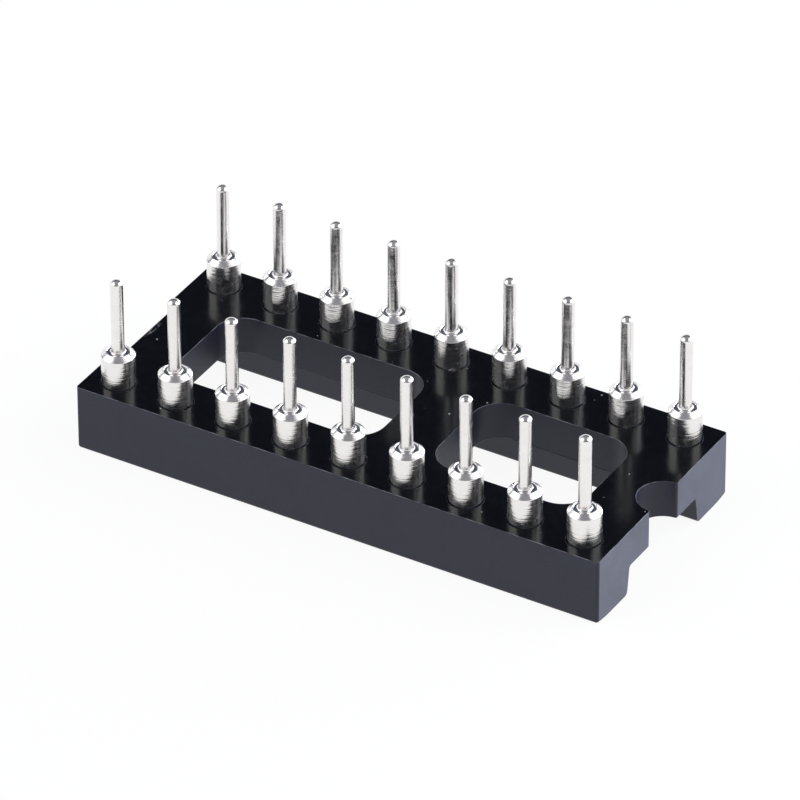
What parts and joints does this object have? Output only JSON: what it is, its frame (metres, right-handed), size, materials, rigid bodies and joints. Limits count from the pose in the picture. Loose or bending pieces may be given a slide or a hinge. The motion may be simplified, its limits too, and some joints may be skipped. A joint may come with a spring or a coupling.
{
  "type": "ic socket",
  "caption": "Dual in-line socket with an open moulded frame, turned sleeve contacts with spring clips inside, and round solder tails.",
  "frame": {"origin": "centre of the mating face, which the socket lies on", "axes": "+Z out of the solder side along the tails, +X along the rows towards the notch"},
  "size_m": [0.0228, 0.0098, 0.0074],
  "materials": {
    "frame": "black glass-filled polyester, polished on the solder face and satin on the sides",
    "sleeve": "turned brass with a bright tin plating",
    "clip": "stamped beryllium copper with a thin gold plating"
  },
  "bodies": {
    "root": {"frame": "frame", "sleeve_1": "sleeve", "sleeve_2": "sleeve", "sleeve_3": "sleeve", "sleeve_4": "sleeve", "sleeve_5": "sleeve", "sleeve_6": "sleeve", "sleeve_7": "sleeve", "sleeve_8": "sleeve", "sleeve_9": "sleeve", "sleeve_10": "sleeve", "sleeve_11": "sleeve", "sleeve_12": "sleeve", "sleeve_13": "sleeve", "sleeve_14": "sleeve", "sleeve_15": "sleeve", "sleeve_16": "sleeve", "sleeve_17": "sleeve", "sleeve_18": "sleeve", "clip_1": "clip", "clip_2": "clip", "clip_3": "clip", "clip_4": "clip", "clip_5": "clip", "clip_6": "clip", "clip_7": "clip", "clip_8": "clip", "clip_9": "clip", "clip_10": "clip", "clip_11": "clip", "clip_12": "clip", "clip_13": "clip", "clip_14": "clip", "clip_15": "clip", "clip_16": "clip", "clip_17": "clip", "clip_18": "clip"}
  },
  "joints": []
}
